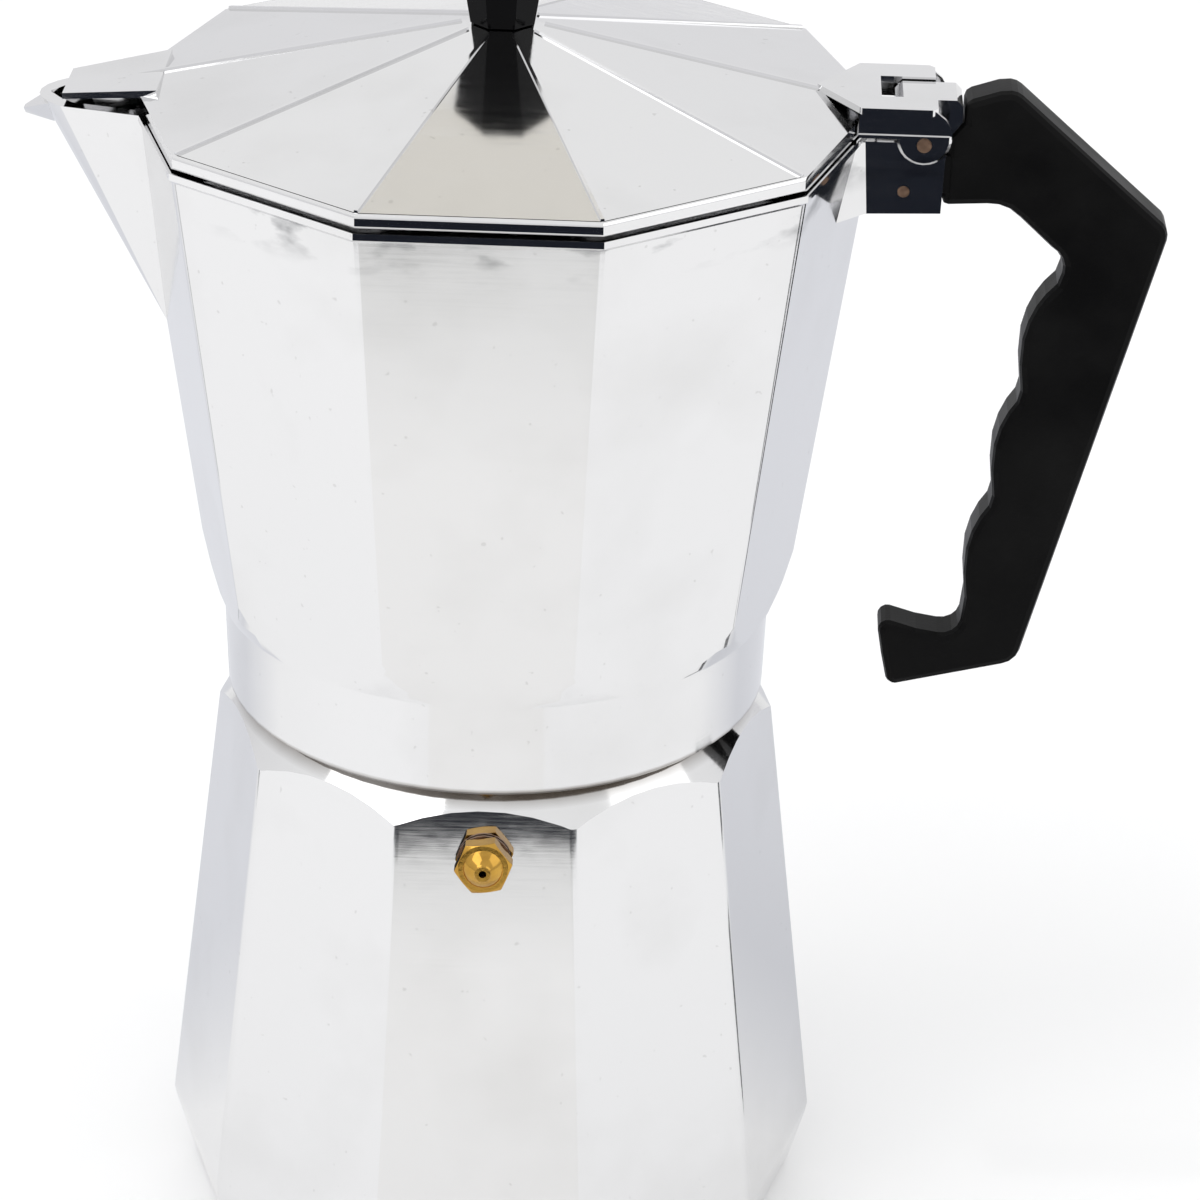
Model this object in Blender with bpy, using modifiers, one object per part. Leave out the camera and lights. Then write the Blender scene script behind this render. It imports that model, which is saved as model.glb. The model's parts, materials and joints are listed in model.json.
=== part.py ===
"""A twelve-cup stovetop moka pot with ten sides: boiler with safety valve, funnel, gasket and
filter plate, screw-on collector with spout and riser column, pinned handle, hinged lid and knob.

The origin is on the pot's axis, at the centre of its flat base. +Z is up, +X points to the handle,
-X to the spout and -Y to the safety valve. Every size below is in millimetres.
"""

import math

import bmesh
import bpy
from mathutils import Matrix, Vector

MM = 0.001  # metres in a millimetre

# ---------------------------------------------------------------- driving dimensions
SIDES = 10
ROUND_STEPS = 64
INNER_STEPS = 40  # for the round pieces inside
FINE_STEPS = 20
GAP = 0.3  # clear space between pieces that rest on each other
RUNNING_CLEARANCE = 0.07  # radial, between a pin and the hole it turns in

# Boiler: corner radii of its ten-sided body, by height
BOILER_CORNERS = ((58.6, 0.0), (59.7, 1.2), (62.7, 12.2), (63.0, 14.0), (62.8, 16.0))
SHOULDER_CORNER = (52.28, 103.16)
SHOULDER_LAND_Z = 109.3
NECK_R = 45.4
NECK_TOP_Z = 124.0
NECK_BORE_R = 42.8
BOILER_FLOOR = 4.5

# Thread between the boiler's neck and the collector's skirt
THREAD_PITCH = 5.0
THREAD_CREST_R = 46.6
SKIRT_THREAD_CREST_R = 45.9
RIDGE_BASE = 2.4
RIDGE_TIP = 1.3
RIDGE_SINK = 0.5
NECK_THREAD_Z = 112.2
NECK_THREAD_PHASE = 0.4
SKIRT_THREAD_Z = 113.0
THREAD_DROP = 1.95  # the skirt's ridge sits this far below the neck's, so that its top flank bears
SEATED_MISALIGNMENT = 1.36  # degrees that the boiler stands turned when the thread is tight

# Collector
BAND_TOP_R = 50.8
BAND_BOTTOM_R = 50.3
BAND_TOP_Z = 128.6
BAND_BOTTOM_Z = 110.05
SKIRT_BORE_R = 47.2
CEILING_Z = 128.6
COLLECTOR_FLOOR_Z = 131.6
COLLECTOR_LOW = (54.05, 128.5)
COLLECTOR_HIGH = (66.3, 220.4)
RIM_R = 66.9
RIM_Z = 222.2
WALL = 3.0
COLUMN_TOP_Z = 196.0
COLUMN_R = 6.4
RISER_BORE_R = 5.2

# Spout: half widths of its lip along -X, and the point on the body where its keel ends
LIP_Z = 222.0
LIP_HALF = ((-62.9, 11.3), (-77.5, 7.7), (-80.0, 5.4), (-81.4, 3.4), (-82.2, 1.2))
KEEL_FOOT = (-60.7, 0.0, 178.6)
SPOUT_WALL = 2.1

# Hinge and handle socket
HINGE_X = 74.4
HINGE_Z = 221.7
HINGE_PIN_R = 1.3
LUG_HALF = 10.2
KNUCKLE_R = 4.0
RIB_HALF = 4.7
TONGUE_HALF = 4.5
HANDLE_PIN = (71.3, 212.4)
HANDLE_PIN_R = 1.05
HOLE_REACH = 14.0  # half length of a cutter that goes right through the lug
TONGUE_INSET = 0.02  # how far the handle's tongue stands in from its sides

# Handle: the inner edge steps out by one finger at a time
FINGERS = 3
FINGER_START = (87.2, 130.0)
FINGER_PITCH = (3.8, 21.1)
FINGER_SCALLOP = ((0.0, 0.0), (-0.5, 5.0), (-0.35, 10.0), (0.5, 13.6), (1.8, 16.6), (3.3, 18.9))

# Lid
LID_R = 66.2
LID_EDGE_Z = 225.2
LID_SKIRT_Z = 222.6
LID_TOP_R = 6.2
LID_TOP_Z = 237.9
LID_SHEET = 1.2
RIDGE_HALF_WIDTH = 0.5
RIDGE_HEIGHT = 0.45
CHANNEL_HALF = 11.8
CHANNEL_WALL = 1.2
CHANNEL_TOP_Z = 228.2
EAR_STEP = 0.4  # how far the hinge ears stand out from the channel's sides
EAR_R = 4.8
EAR_CHAMFER = 0.5
EAR_TOP_Z = 223.3
EAR_DROP = 0.6  # from the ears' top to the centre of their arc
EAR_FRONT_X = 62.9
SLOT_HALF = 5.3
SLOT_FRONT_X = 66.8

# Knob
KNOB_SIDES = 8
KNOB_BASE_R = 6.1
KNOB_BASE_Z = LID_TOP_Z + GAP
KNOB_TOP_R = 9.6
KNOB_TOP_Z = 263.4

# Safety valve, along its own axis, outward from the boiler's front facet
VALVE_Z = 97.1
VALVE_HEX_FLATS = 9.2
VALVE_SHANK_R = 4.0
VALVE_BORE_R = 2.6
POPPET_R = 2.53

COS_HALF_SIDE = math.cos(math.pi / SIDES)


# ---------------------------------------------------------------- scene and materials
for old in list(bpy.data.objects):
    bpy.data.objects.remove(old, do_unlink=True)

parts = bpy.data.collections.new("moka_pot")
cutters = bpy.data.collections.new("cutters")
bpy.context.scene.collection.children.link(parts)
bpy.context.scene.collection.children.link(cutters)
cutters.hide_render = True


def material(name, colour, metallic, roughness):
    made = bpy.data.materials.new(name)
    made.use_nodes = True
    shader = made.node_tree.nodes["Principled BSDF"]
    shader.inputs["Base Color"].default_value = (*colour, 1.0)
    shader.inputs["Metallic"].default_value = metallic
    shader.inputs["Roughness"].default_value = roughness
    return made


CAST_ALUMINIUM = material("cast_aluminium", (0.80, 0.80, 0.81), 1.0, 0.28)
SHEET_ALUMINIUM = material("sheet_aluminium", (0.76, 0.76, 0.77), 1.0, 0.35)
BRASS = material("brass", (0.83, 0.60, 0.20), 1.0, 0.22)
STEEL = material("steel", (0.55, 0.54, 0.53), 1.0, 0.30)
COPPERED_STEEL = material("coppered_steel", (0.55, 0.36, 0.26), 1.0, 0.35)
HANDLE_PLASTIC = material("handle_plastic", (0.012, 0.012, 0.012), 0.0, 0.42)
KNOB_PLASTIC = material("knob_plastic", (0.010, 0.010, 0.011), 0.0, 0.22)
SILICONE = material("silicone", (0.86, 0.85, 0.82), 0.0, 0.60)


# ---------------------------------------------------------------- helpers
def axis_empty(name, location, rotation=(0.0, 0.0, 0.0), parent=None):
    empty = bpy.data.objects.new(name, None)
    empty.empty_display_size = 0.01
    empty.location = Vector(location) * MM
    empty.rotation_euler = rotation
    empty.parent = parent
    parts.objects.link(empty)
    bpy.context.view_layer.update()
    return empty


def place(name, mesh, look=None, parent=None, local=False):
    """Adds a sub-part when it has a look, and a hidden cutter when it has none. A local shape is
    given in its parent's own axes; any other shape is given in the pot's axes."""
    obj = bpy.data.objects.new(name, mesh)
    if look:
        parts.objects.link(obj)
        mesh.materials.append(look)
    else:
        cutters.objects.link(obj)
        obj.hide_render = True
        obj.display_type = "WIRE"
    if parent:
        obj.parent = parent
        if not local:
            obj.matrix_parent_inverse = parent.matrix_world.inverted()
    return obj


def finish_mesh(bm, name):
    bmesh.ops.recalc_face_normals(bm, faces=bm.faces)
    mesh = bpy.data.meshes.new(name)
    bm.to_mesh(mesh)
    bm.free()
    return mesh


def turned(name, profile, steps=ROUND_STEPS, look=None, parent=None, local=False, turn=0.0):
    """A profile of (radius, height) at +X, run down its outer side, turned about Z by a Screw. A
    profile that doesn't start on the axis is closed into a ring. Few steps give a flat-sided body
    whose corners have the profile's radii."""
    bm = bmesh.new()
    spin = Matrix.Rotation(turn, 3, "Z")
    verts = [bm.verts.new(spin @ Vector((r, 0.0, z)) * MM) for r, z in profile]
    for first, second in zip(verts, verts[1:]):
        bm.edges.new((first, second))
    if profile[0][0] > 0.0:
        bm.edges.new((verts[-1], verts[0]))
    mesh = bpy.data.meshes.new(name)
    bm.to_mesh(mesh)
    bm.free()
    obj = place(name, mesh, look, parent, local)
    screw = obj.modifiers.new("turn", "SCREW")
    screw.axis = "Z"
    screw.angle = 2.0 * math.pi
    screw.steps = steps
    screw.render_steps = steps
    screw.use_merge_vertices = True
    screw.merge_threshold = 0.00001
    screw.use_smooth_shade = steps > SIDES
    return obj


def loft(name, rings, look=None, parent=None, local=False):
    """A closed body through rings of equally many points; a last ring of one point is an apex."""
    bm = bmesh.new()
    rows = [[bm.verts.new(Vector(point) * MM) for point in ring] for ring in rings]
    count = len(rows[0])
    bm.faces.new(rows[0])
    for row, following in zip(rows, rows[1:]):
        for i in range(count):
            j = (i + 1) % count
            if len(following) == 1:
                bm.faces.new((row[i], row[j], following[0]))
            else:
                bm.faces.new((row[i], row[j], following[j], following[i]))
    if len(rows[-1]) > 1:
        bm.faces.new(rows[-1][::-1])
    return place(name, finish_mesh(bm, name), look, parent, local)


def side_plate(name, outline, y_low, y_high, look=None, parent=None):
    """An outline of (x, z) points, extruded along Y from y_low to y_high."""
    low = [(x, y_low, z) for x, z in outline]
    high = [(x, y_high, z) for x, z in outline]
    return loft(name, [low, high], look, parent)


def rod(name, radius, start, end, steps=FINE_STEPS, look=None, parent=None, local=False):
    """A round bar from start to end."""
    start = Vector(start)
    end = Vector(end)
    length = (end - start).length
    bm = bmesh.new()
    to_place = Matrix.Translation((start + end) / 2 * MM)
    turn_to_axis = (end - start).to_track_quat("Z", "Y").to_matrix().to_4x4()
    bmesh.ops.create_cone(
        bm,
        cap_ends=True,
        segments=steps,
        radius1=radius * MM,
        radius2=radius * MM,
        depth=length * MM,
        matrix=to_place @ turn_to_axis,
    )
    return place(name, finish_mesh(bm, name), look, parent, local)


def cross_hole(name, pin_r, centre):
    """A cutter for a pin's hole along Y, at this (x, z), with running clearance round the pin."""
    x, z = centre
    return rod(name, pin_r + RUNNING_CLEARANCE, (x, -HOLE_REACH, z), (x, HOLE_REACH, z))


def combine(obj, operation, *others):
    """Adds a Boolean for each of the others."""
    for other in others:
        step = obj.modifiers.new(other.name, "BOOLEAN")
        step.operation = operation
        step.solver = "EXACT"
        step.object = other


def soften(obj, width, segments=1, angle=35.0):
    bevel = obj.modifiers.new("soft_edges", "BEVEL")
    bevel.width = width * MM
    bevel.segments = segments
    bevel.limit_method = "ANGLE"
    bevel.angle_limit = math.radians(angle)


def arc(centre, radius, from_degrees, to_degrees, steps):
    """Points along an arc, from one angle to the other, both ends included."""
    points = []
    for i in range(steps + 1):
        angle = math.radians(from_degrees + (to_degrees - from_degrees) * i / steps)
        x = centre[0] + radius * math.cos(angle)
        z = centre[1] + radius * math.sin(angle)
        points.append((x, z))
    return points


def thread_ridge(name, wall_r, crest_r, low_z, high_z, phase, steps=30):
    """A trapezoid ridge along a right-hand helix, its root sunk into the wall it stands on."""
    root_r = wall_r - RIDGE_SINK if crest_r > wall_r else wall_r + RIDGE_SINK
    count = round((high_z - low_z) / THREAD_PITCH * steps)
    rings = []
    for i in range(count + 1):
        z = low_z + THREAD_PITCH * i / steps
        angle = phase + 2.0 * math.pi * i / steps
        section = (
            (root_r, z - RIDGE_BASE / 2),
            (crest_r, z - RIDGE_TIP / 2),
            (crest_r, z + RIDGE_TIP / 2),
            (root_r, z + RIDGE_BASE / 2),
        )
        rings.append([(r * math.cos(angle), r * math.sin(angle), h) for r, h in section])
    return loft(name, rings)


def hole_grid(name, rings, spacing, hole_r, z_low, z_high, parent=None):
    """Short six-sided bars on concentric circles, six more on each circle than on the last."""
    bm = bmesh.new()
    for ring in range(rings + 1):
        count = max(1, 6 * ring)
        for i in range(count):
            angle = 2.0 * math.pi * i / count
            x = ring * spacing * math.cos(angle)
            y = ring * spacing * math.sin(angle)
            bmesh.ops.create_cone(
                bm,
                cap_ends=True,
                segments=6,
                radius1=hole_r * MM,
                radius2=hole_r * MM,
                depth=(z_high - z_low) * MM,
                matrix=Matrix.Translation(Vector((x, y, (z_low + z_high) / 2)) * MM),
            )
    return place(name, finish_mesh(bm, name), None, parent)


# ---------------------------------------------------------------- boiler
def boiler_corner_slope():
    """Corner radius lost for each millimetre of height, up the boiler's flats."""
    wide_r, wide_z = BOILER_CORNERS[3]
    top_r, top_z = SHOULDER_CORNER
    return (wide_r - top_r) / (top_z - wide_z)


def make_boiler(frame):
    slope = boiler_corner_slope()
    above_shoulder = 114.0
    top_r = SHOULDER_CORNER[0] - slope * (above_shoulder - SHOULDER_CORNER[1])
    flats = [(0.0, above_shoulder), (top_r, above_shoulder)]
    flats += list(reversed(BOILER_CORNERS))
    flats += [(0.0, 0.0)]
    boiler = turned("boiler", flats, SIDES, CAST_ALUMINIUM, frame, True)

    corner_r, corner_z = SHOULDER_CORNER
    cone_drop = 1.12  # height lost for each millimetre outward on the shoulder
    land_r = corner_r - (SHOULDER_LAND_Z - corner_z) / cone_drop
    far_r = 80.0
    shoulder = [
        (0.0, SHOULDER_LAND_Z),
        (land_r, SHOULDER_LAND_Z),
        (far_r, corner_z - cone_drop * (far_r - corner_r)),
        (far_r, -5.0),
        (0.0, -5.0),
    ]
    combine(boiler, "INTERSECT", turned("boiler_shoulder", shoulder, parent=frame))

    neck = [
        (0.0, NECK_TOP_Z),
        (NECK_R - 0.8, NECK_TOP_Z),
        (NECK_R, NECK_TOP_Z - 0.8),
        (NECK_R, 105.0),
        (0.0, 105.0),
    ]
    thread = thread_ridge(
        "boiler_thread", NECK_R, THREAD_CREST_R, NECK_THREAD_Z, NECK_THREAD_Z + 7.5, NECK_THREAD_PHASE
    )
    combine(boiler, "UNION", turned("boiler_neck", neck, parent=frame), thread)

    cavity = [
        (0.0, NECK_TOP_Z + 1.0),
        (NECK_BORE_R, NECK_TOP_Z + 1.0),
        (NECK_BORE_R, 107.0),
        (45.8, 99.0),
        (55.8, 17.0),
        (54.5, 9.5),
        (50.0, BOILER_FLOOR),
        (0.0, BOILER_FLOOR),
    ]
    combine(boiler, "DIFFERENCE", turned("boiler_cavity", cavity, parent=frame))
    return boiler


# ---------------------------------------------------------------- safety valve
def valve_seat_on_facet():
    """Where the valve's axis meets the front facet, and how far that facet leans back."""
    slope = boiler_corner_slope()
    corner_r = SHOULDER_CORNER[0] + slope * (SHOULDER_CORNER[1] - VALVE_Z)
    lean = math.atan(COS_HALF_SIDE * slope)
    return (0.0, -COS_HALF_SIDE * corner_r, VALVE_Z), lean


def make_valve(boiler, frame):
    seat, lean = valve_seat_on_facet()
    axis = axis_empty("safety_valve_axis", seat, (math.pi / 2 - lean, 0.0, 0.0), frame)
    hole_r = VALVE_SHANK_R + GAP
    wall_hole = rod("valve_hole", hole_r, (0, 0, -9), (0, 0, 3), parent=axis, local=True)
    combine(boiler, "DIFFERENCE", wall_hole)

    washer = [(4.9, 0.8), (4.9, 0.3), (4.3, 0.3), (4.3, 0.8)]
    turned("safety_valve_washer", washer, 24, COPPERED_STEEL, axis, True)

    hex_low = 1.1
    hex_high = 4.4
    hex_r = VALVE_HEX_FLATS / math.sqrt(3.0)
    hexagon = [(0.0, hex_high), (hex_r, hex_high), (hex_r, hex_low), (0.0, hex_low)]
    body = turned("safety_valve_body", hexagon, 6, BRASS, axis, True, math.radians(8.0))
    chamfer = [(0.0, hex_high + 0.1), (4.35, hex_high + 0.1), (6.0, 3.3), (6.0, 0.5), (0.0, 0.5)]
    combine(body, "INTERSECT", turned("valve_chamfer", chamfer, 30, None, axis, True))
    nozzle = [(0.0, 6.7), (1.45, 6.7), (1.75, 6.2), (2.9, 5.4), (3.9, 4.0), (0.0, 4.0)]
    shank = [(0.0, 2.0), (VALVE_SHANK_R, 2.0), (VALVE_SHANK_R, -7.0), (0.0, -7.0)]
    combine(
        body,
        "UNION",
        turned("valve_nozzle", nozzle, FINE_STEPS, None, axis, True),
        turned("valve_shank", shank, FINE_STEPS, None, axis, True),
    )
    bore = [
        (0.0, 7.0),
        (0.7, 7.0),
        (0.7, 3.2),
        (VALVE_BORE_R, 3.2),
        (VALVE_BORE_R, -8.0),
        (0.0, -8.0),
    ]
    combine(body, "DIFFERENCE", turned("valve_bore", bore, FINE_STEPS, None, axis, True))

    seat_ring = [(2.3, -4.6), (2.3, -6.7), (1.2, -6.7), (1.2, -4.6)]
    turned("safety_valve_seat", seat_ring, FINE_STEPS, BRASS, axis, True)
    poppet = [
        (0.0, 0.5),
        (1.0, 0.5),
        (1.0, -2.0),
        (POPPET_R, -2.0),
        (POPPET_R, -3.6),
        (1.6, -4.3),
        (0.0, -4.3),
    ]
    turned("safety_valve_poppet", poppet, FINE_STEPS, STEEL, axis, True)
    make_valve_spring(axis)


def make_valve_spring(axis):
    wire_r = 0.28
    coil_r = 1.75
    low_z = -1.4
    high_z = 2.6
    turns = 4
    per_turn = 10
    curve = bpy.data.curves.new("safety_valve_spring", "CURVE")
    curve.dimensions = "3D"
    curve.bevel_depth = wire_r * MM
    curve.bevel_resolution = 1
    curve.use_fill_caps = True
    line = curve.splines.new("POLY")
    count = turns * per_turn
    line.points.add(count)
    for i in range(count + 1):
        angle = 2.0 * math.pi * i / per_turn
        z = low_z + (high_z - low_z) * i / count
        point = Vector((coil_r * math.cos(angle), coil_r * math.sin(angle), z)) * MM
        line.points[i].co = (*point, 1.0)
    spring = bpy.data.objects.new("safety_valve_spring", curve)
    curve.materials.append(STEEL)
    spring.parent = axis
    parts.objects.link(spring)


# ---------------------------------------------------------------- funnel
def make_funnel(frame):
    flange_z = NECK_TOP_Z + GAP
    top_z = flange_z + 0.8
    wall_r = NECK_BORE_R - 0.4
    ledge_z = 85.4
    basket = [
        (45.0, top_z),
        (45.0, flange_z),
        (wall_r, flange_z),
        (wall_r, ledge_z - 0.6),
        (wall_r - 1.6, ledge_z - 1.6),
        (6.4, 66.0),
        (6.4, 57.0),
        (5.3, 57.0),
        (5.3, 66.8),
        (wall_r - 2.6, ledge_z - 0.4),
        (wall_r - 2.6, ledge_z),
        (wall_r - 0.9, ledge_z),
        (wall_r - 0.9, top_z),
    ]
    turned("funnel_basket", basket, INNER_STEPS, SHEET_ALUMINIUM, frame)
    tube = [(5.0, 66.0), (5.0, 9.0), (4.1, 9.0), (4.1, 66.0)]
    turned("funnel_stem", tube, FINE_STEPS, SHEET_ALUMINIUM, frame)
    disc_r = wall_r - 1.2
    low = ledge_z + GAP
    disc = [(0.0, low + 0.8), (disc_r, low + 0.8), (disc_r, low), (0.0, low)]
    screen = turned("funnel_screen", disc, INNER_STEPS, SHEET_ALUMINIUM, frame)
    holes = hole_grid("funnel_holes", 3, 11.0, 1.1, low - 1.0, low + 2.0, frame)
    combine(screen, "DIFFERENCE", holes)


# ---------------------------------------------------------------- gasket and filter plate
def make_gasket_and_plate(frame):
    low = NECK_TOP_Z + GAP + 0.8 + GAP
    high = CEILING_Z - GAP
    rebate_z = high - 1.1
    gasket = [
        (45.4, high),
        (45.4, low),
        (38.5, low),
        (38.5, rebate_z),
        (41.2, rebate_z),
        (41.2, high),
    ]
    turned("gasket", gasket, INNER_STEPS, SILICONE, frame)
    plate_low = rebate_z + GAP
    plate = [(0.0, high), (40.9, high), (40.9, plate_low), (0.0, plate_low)]
    filter_plate = turned("filter_plate", plate, INNER_STEPS, SHEET_ALUMINIUM, frame)
    holes = hole_grid("filter_holes", 3, 10.5, 1.1, plate_low - 1.0, high + 1.0, frame)
    combine(filter_plate, "DIFFERENCE", holes)


# ---------------------------------------------------------------- collector
def spout_ring(half_widths, z):
    """A closed outline symmetric about y = 0, from (x, half width) pairs."""
    near = [(x, -y, z) for x, y in half_widths]
    far = [(x, y, z) for x, y in reversed(half_widths)]
    return near + far


def make_spout_shapes(frame):
    lip = ((-57.5, 12.6),) + LIP_HALF
    top = spout_ring(lip, LIP_Z)
    outer = loft("spout_outer", [top, [KEEL_FOOT]], parent=frame)
    inset = [(x + SPOUT_WALL * 0.9, max(y - SPOUT_WALL, 0.45)) for x, y in LIP_HALF]
    channel_lip = [(-50.0, inset[0][1] + 2.4)] + inset
    above = 4.0
    foot = Vector((KEEL_FOOT[0] + 5.5, 0.0, KEEL_FOOT[2] + 9.0))
    grow = (LIP_Z + above - foot.z) / (LIP_Z - foot.z)
    wide = [(foot.x + (x - foot.x) * grow, y * grow) for x, y in channel_lip]
    channel = loft("spout_channel", [spout_ring(wide, LIP_Z + above), [tuple(foot)]], parent=frame)
    beak = loft(
        "spout_beak",
        [
            [(-79.4, -5.6, 221.8), (-79.4, 5.6, 221.8), (-79.9, 0.0, 216.3)],
            [(-85.2, -0.9, 219.0), (-85.2, 0.9, 219.0), (-85.0, 0.0, 217.8)],
        ],
        parent=frame,
    )
    return outer, beak, channel


def lug_root(name, side, frame):
    """The flared root where a side of the lug runs out into the collector's facet."""
    low_z = 208.1
    high_z = 221.3
    low = [(65.0, LUG_HALF), (59.3, 15.8), (57.5, 8.0)]
    high = [(64.2, LUG_HALF), (62.1, 11.9), (57.5, 8.0)]
    rings = [
        [(x, side * y, low_z) for x, y in low],
        [(x, side * y, high_z) for x, y in high],
    ]
    return loft(name, rings, parent=frame)


def make_lug_shapes(frame):
    block_outline = [(58.0, 207.8), (78.0, 208.5)]
    block_outline += arc((HINGE_X, HINGE_Z), KNUCKLE_R, 0.0, 180.0, 12)
    block_outline += [(HINGE_X - KNUCKLE_R, RIM_Z - 0.7), (58.0, RIM_Z - 0.7)]
    block = side_plate("lug_block", block_outline, -LUG_HALF, LUG_HALF, parent=frame)
    rib_outline = [
        (69.4, 220.0),
        (69.4, 226.3),
        (70.7, 227.6),
        (80.1, 227.6),
        (81.2, 226.5),
        (81.2, 223.6),
        (78.2, 219.6),
    ]
    rib = side_plate("lug_rib", rib_outline, -RIB_HALF, RIB_HALF, parent=frame)
    pocket_half = TONGUE_HALF + GAP
    pocket_outline = [(67.6, 209.9), (84.0, 209.9), (84.0, 217.4), (67.6, 217.4)]
    pocket = side_plate("lug_pocket", pocket_outline, -pocket_half, pocket_half, parent=frame)
    hinge_hole = cross_hole("lug_hinge_hole", HINGE_PIN_R, (HINGE_X, HINGE_Z))
    handle_hole = cross_hole("lug_pin_hole", HANDLE_PIN_R, HANDLE_PIN)
    roots = [lug_root("lug_root_near", -1.0, frame), lug_root("lug_root_far", 1.0, frame)]
    return [block, rib, *roots], [pocket, hinge_hole, handle_hole]


def make_collector(frame):
    body = [
        (0.0, RIM_Z),
        (RIM_R, RIM_Z),
        (RIM_R, RIM_Z - 1.2),
        COLLECTOR_HIGH,
        COLLECTOR_LOW,
        (0.0, COLLECTOR_LOW[1]),
    ]
    collector = turned("collector", body, SIDES, CAST_ALUMINIUM, frame)

    trim = [
        (0.0, RIM_Z + 5.0),
        (75.0, RIM_Z + 5.0),
        (75.0, 160.0),
        (56.3, 141.5),
        (55.1, 136.6),
        (53.6, 132.2),
        (51.7, 128.4),
        (51.7, 120.0),
        (0.0, 120.0),
    ]
    combine(collector, "INTERSECT", turned("collector_trim", trim, parent=frame))

    band = [
        (0.0, BAND_TOP_Z + 1.5),
        (BAND_TOP_R, BAND_TOP_Z + 1.5),
        (BAND_TOP_R, BAND_TOP_Z - 0.6),
        (BAND_BOTTOM_R, BAND_BOTTOM_Z + 0.7),
        (BAND_BOTTOM_R - 0.7, BAND_BOTTOM_Z),
        (0.0, BAND_BOTTOM_Z),
    ]
    spout, beak, channel = make_spout_shapes(frame)
    lug_solids, lug_cuts = make_lug_shapes(frame)
    band_ring = turned("collector_band", band, parent=frame)
    combine(collector, "UNION", band_ring, spout, beak, *lug_solids)

    low_r, low_z = COLLECTOR_LOW
    high_r, high_z = COLLECTOR_HIGH
    grow = (high_r - low_r) / (high_z - low_z)
    inner_rim_r = low_r + grow * (RIM_Z + 1.0 - low_z) - WALL
    inner_low_r = low_r + grow * (COLLECTOR_FLOOR_Z + 2.5 - low_z) - WALL - 0.8
    chamber = [
        (0.0, RIM_Z + 1.0),
        (inner_rim_r, RIM_Z + 1.0),
        (inner_low_r, COLLECTOR_FLOOR_Z + 2.5),
        (inner_low_r - 2.5, COLLECTOR_FLOOR_Z),
        (0.0, COLLECTOR_FLOOR_Z),
    ]
    skirt_bore = [
        (0.0, CEILING_Z),
        (SKIRT_BORE_R, CEILING_Z),
        (SKIRT_BORE_R, BAND_BOTTOM_Z + 1.0),
        (SKIRT_BORE_R + 1.2, BAND_BOTTOM_Z - 0.5),
        (0.0, BAND_BOTTOM_Z - 0.5),
    ]
    combine(
        collector,
        "DIFFERENCE",
        turned("collector_chamber", chamber, SIDES, parent=frame),
        turned("skirt_bore", skirt_bore, parent=frame),
        channel,
        *lug_cuts,
    )

    column = [
        (0.0, COLUMN_TOP_Z),
        (COLUMN_R, COLUMN_TOP_Z),
        (COLUMN_R, 165.0),
        (7.3, 141.0),
        (9.6, COLLECTOR_FLOOR_Z + 1.6),
        (12.0, COLLECTOR_FLOOR_Z - 1.0),
        (0.0, COLLECTOR_FLOOR_Z - 1.0),
    ]
    lag = SKIRT_THREAD_Z - NECK_THREAD_Z + THREAD_DROP - THREAD_PITCH
    phase = NECK_THREAD_PHASE + 2.0 * math.pi * lag / THREAD_PITCH
    skirt_thread = thread_ridge(
        "skirt_thread", SKIRT_BORE_R, SKIRT_THREAD_CREST_R, SKIRT_THREAD_Z, SKIRT_THREAD_Z + 9.0, phase
    )
    combine(collector, "UNION", turned("riser_column", column, INNER_STEPS, parent=frame), skirt_thread)
    riser = [
        (0.0, COLUMN_TOP_Z + 1.0),
        (RISER_BORE_R, COLUMN_TOP_Z + 1.0),
        (RISER_BORE_R, CEILING_Z + 2.0),
        (30.0, CEILING_Z + 0.3),
        (36.0, CEILING_Z - 0.5),
        (0.0, CEILING_Z - 0.5),
    ]
    combine(collector, "DIFFERENCE", turned("riser_bore", riser, INNER_STEPS, parent=frame))
    return collector


def make_column_cap(frame):
    """A cap over the riser column's end, with an outlet on each side."""
    inner_r = COLUMN_R + GAP
    outer_r = inner_r + 1.0
    cap = [
        (0.0, 205.4),
        (3.5, 205.0),
        (6.2, 203.4),
        (outer_r, 201.0),
        (outer_r, 187.0),
        (inner_r, 187.0),
        (inner_r, 200.6),
        (5.4, 202.6),
        (0.0, 204.2),
    ]
    obj = turned("column_cap", cap, FINE_STEPS, CAST_ALUMINIUM, frame)
    outlet = loft(
        "cap_outlets",
        [
            [(-3.0, -9.0, 197.6), (3.0, -9.0, 197.6), (3.0, -9.0, 201.6), (-3.0, -9.0, 201.6)],
            [(-3.0, 9.0, 197.6), (3.0, 9.0, 197.6), (3.0, 9.0, 201.6), (-3.0, 9.0, 201.6)],
        ],
        parent=frame,
    )
    combine(obj, "DIFFERENCE", outlet)


# ---------------------------------------------------------------- handle
def finger_edge():
    """The grip's inner edge from bottom to top: one scallop a finger."""
    points = []
    for finger in range(FINGERS):
        start_x = FINGER_START[0] + finger * FINGER_PITCH[0]
        start_z = FINGER_START[1] + finger * FINGER_PITCH[1]
        points += [(start_x + dx, start_z + dz) for dx, dz in FINGER_SCALLOP]
    return points


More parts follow.
